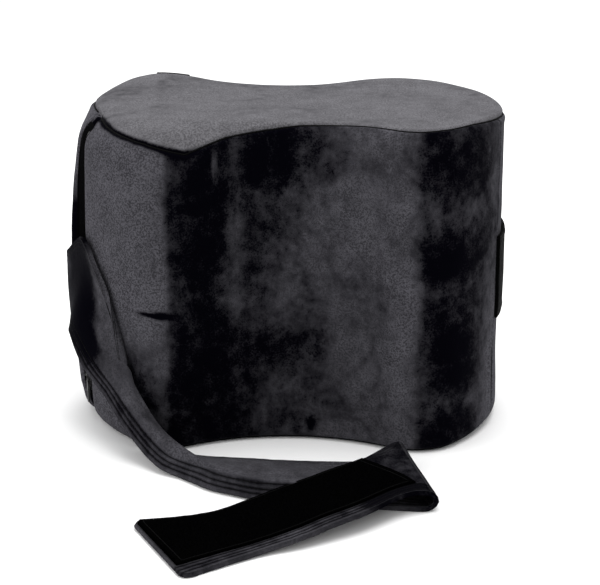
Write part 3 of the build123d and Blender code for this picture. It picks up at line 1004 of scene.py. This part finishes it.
# The lines the soft pieces bend over: the strap's root and the crease at its fold, in metres.
ROOT = dict(start=(-0.130, -0.010, 0.088), end=(-0.130, -0.034, 0.088))
CREASE = dict(start=(0.073, -0.1265, 0.0031), end=(0.073, -0.1265, 0.0076))
SPANS = {
    "run": (0, FOLD_START, ("cushion", "strap"), ROOT),
    "fold": (FOLD_START, FOLD_STOP, ("strap", "strap_end"), CREASE),
    "end": (FOLD_STOP, ROWS - 1, "strap_end", None),
}


def attach(piece, bodies, line):
    """Bake a piece's placement into its mesh where there is a line, or attach it to one body where there
    is none.
    """
    if line:
        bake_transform(piece)
    else:
        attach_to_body(piece, bodies)


def strap_pieces():
    """The strap's three lengths, each with its rows of stitching."""
    nap_and_shade = strap_nap_and_shade()
    rows_across = STITCH_ROWS + (STRAP_WIDTH - 2.6, STRAP_WIDTH - 5.4)
    replaced = {"run": ("strap_band", "strap_anchor"), "end": ("strap_end_band",)}
    threads = {"run": ("strap_stitching", "strap_anchor_stitching")}
    for name, (first, last, bodies, line) in SPANS.items():
        part = slice(first, last + 1)
        band = slab_mesh("strap_" + name, strap[part], strap_facing[part], thickness, strap_velour,
                         {"nap_and_shade": nap_and_shade[part]})
        attach(band, bodies, line)
        if name in replaced:
            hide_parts(*replaced[name])
        paths = []
        for side in (1, -1):
            for at in rows_across:
                column = np.array([np.interp(at, ACROSS, strap[r, :, i])
                                   for r in range(first, last + 1) for i in range(3)]).reshape(-1, 3)
                facing = strap_facing[part][:, np.argmin(np.abs(ACROSS - at))]
                paths.append(column + facing * side * (STRAP_HALF - 0.08))
        if name == "run":
            for row in (2, 7):
                paths.append(strap[row, 2:-2] + strap_facing[row, 2:-2] * (STRAP_HALF + 0.05))
        stitches = tube_mesh("strap_thread_" + name, paths, STRAP_THREAD, thread_black, sides=5)
        attach(stitches, bodies, line)
        if name in threads:
            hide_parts(*threads[name])


def loop_pad():
    """The black loop tape on the inner face of the strap's free end."""
    part = slice(FOLD_STOP, ROWS)
    base = strap[part]
    gaps = np.linalg.norm(np.diff(base.mean(axis=1), axis=0), axis=1)
    travel = np.concatenate([[0], np.cumsum(gaps)])
    columns = np.linspace(10.0, STRAP_WIDTH - 0.8, 30)
    across = np.stack([[np.interp(columns, ACROSS, base[r, :, i]) for i in range(3)]
                       for r in range(base.shape[0])]).transpose(0, 2, 1)
    grid = np.zeros((90, len(columns), 3))
    for place, column in enumerate(columns):
        first = 7 + 16 * (column - columns[0]) / (columns[-1] - columns[0])
        rows = np.linspace(first, travel[-1] - 1.2, 90)
        for axis in range(3):
            grid[:, place, axis] = np.interp(rows, travel, across[:, place, axis])
    facing = -unit(np.cross(np.gradient(grid, axis=0), np.gradient(grid, axis=1)))
    middle = grid + facing * (STRAP_HALF + 0.6)
    pad = slab_mesh("strap_loop_pad", middle, facing, 0.55, loop_black)
    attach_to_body(pad, "strap_end")
    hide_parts("strap_end_tape")
    edge = grid + facing * (STRAP_HALF + 1.15)
    ring = np.concatenate([edge[2, 2:-2], edge[2:-2, -2], edge[-3, -3:1:-1], edge[-3:1:-1, 1]])
    thread = tube_mesh("strap_pad_thread", [ring], STRAP_THREAD, thread_black, sides=5)
    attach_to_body(thread, "strap_end")
    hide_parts("strap_end_stitching")


strap_pieces()
loop_pad()


# ---- carried-over CAD pieces
for node in ("zipper_bottom_stop", "zipper_slider", "zipper_pull"):
    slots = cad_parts[node].data.materials
    slots.clear()
    slots.append(zip_metal)


# ---- floor, light, camera
# The camera, matched to the photo: place in metres, turn and tilt in radians.
EYE = (0.0317, -1.0286, 0.4036)
YAW, PITCH = 0.0268, 0.3111
LENS = 105.9


def stage():
    """A wide pale floor."""
    n = Nodes("pale_floor")
    tone = n.blend(n.noise(6, 3, 0.5), (0.90, 0.90, 0.90), (0.93, 0.93, 0.93))
    n.finish(tone, 0.9, gloss=0.1)
    mesh = bpy.data.meshes.new("floor")
    reach = 6.0
    mesh.from_pydata([(-reach, -reach, 0), (reach, -reach, 0), (reach, reach, 0), (-reach, reach, 0)],
                     [], [(0, 1, 2, 3)])
    mesh.materials.append(n.material)
    floor = bpy.data.objects.new("floor", mesh)
    bpy.context.scene.collection.objects.link(floor)


def area_light(name, place, target, size, power):
    """A square light at a place, turned towards a target."""
    light = bpy.data.lights.new(name, "AREA")
    light.shape = "SQUARE"
    light.size = size
    light.energy = power
    lamp = bpy.data.objects.new(name, light)
    lamp.location = place
    lamp.rotation_euler = (Vector(target) - Vector(place)).to_track_quat("-Z", "Y").to_euler()
    bpy.context.scene.collection.objects.link(lamp)


def studio():
    """Even white light, with a soft box above and one on the left."""
    world = bpy.data.worlds.new("studio")
    world.use_nodes = True
    world.node_tree.nodes["Background"].inputs["Color"].default_value = (1, 1, 1, 1)
    world.node_tree.nodes["Background"].inputs["Strength"].default_value = 0.95
    bpy.context.scene.world = world
    area_light("top_box", (0.1, 0.15, 1.5), (0, 0, 0.1), 1.4, 22)
    area_light("left_box", (-1.6, -0.7, 0.8), (0, 0, 0.1), 1.2, 9)
    bpy.context.scene.view_settings.view_transform = "Standard"


def camera():
    """The photo's view."""
    data = bpy.data.cameras.new("camera")
    data.sensor_width = 36.0
    data.lens = LENS
    data.clip_end = 30
    eye = bpy.data.objects.new("camera", data)
    look = Vector((-np.sin(YAW) * np.cos(PITCH), np.cos(YAW) * np.cos(PITCH), -np.sin(PITCH)))
    eye.location = EYE
    eye.rotation_euler = look.to_track_quat("-Z", "Y").to_euler()
    bpy.context.scene.collection.objects.link(eye)
    bpy.context.scene.camera = eye


stage()
studio()
camera()
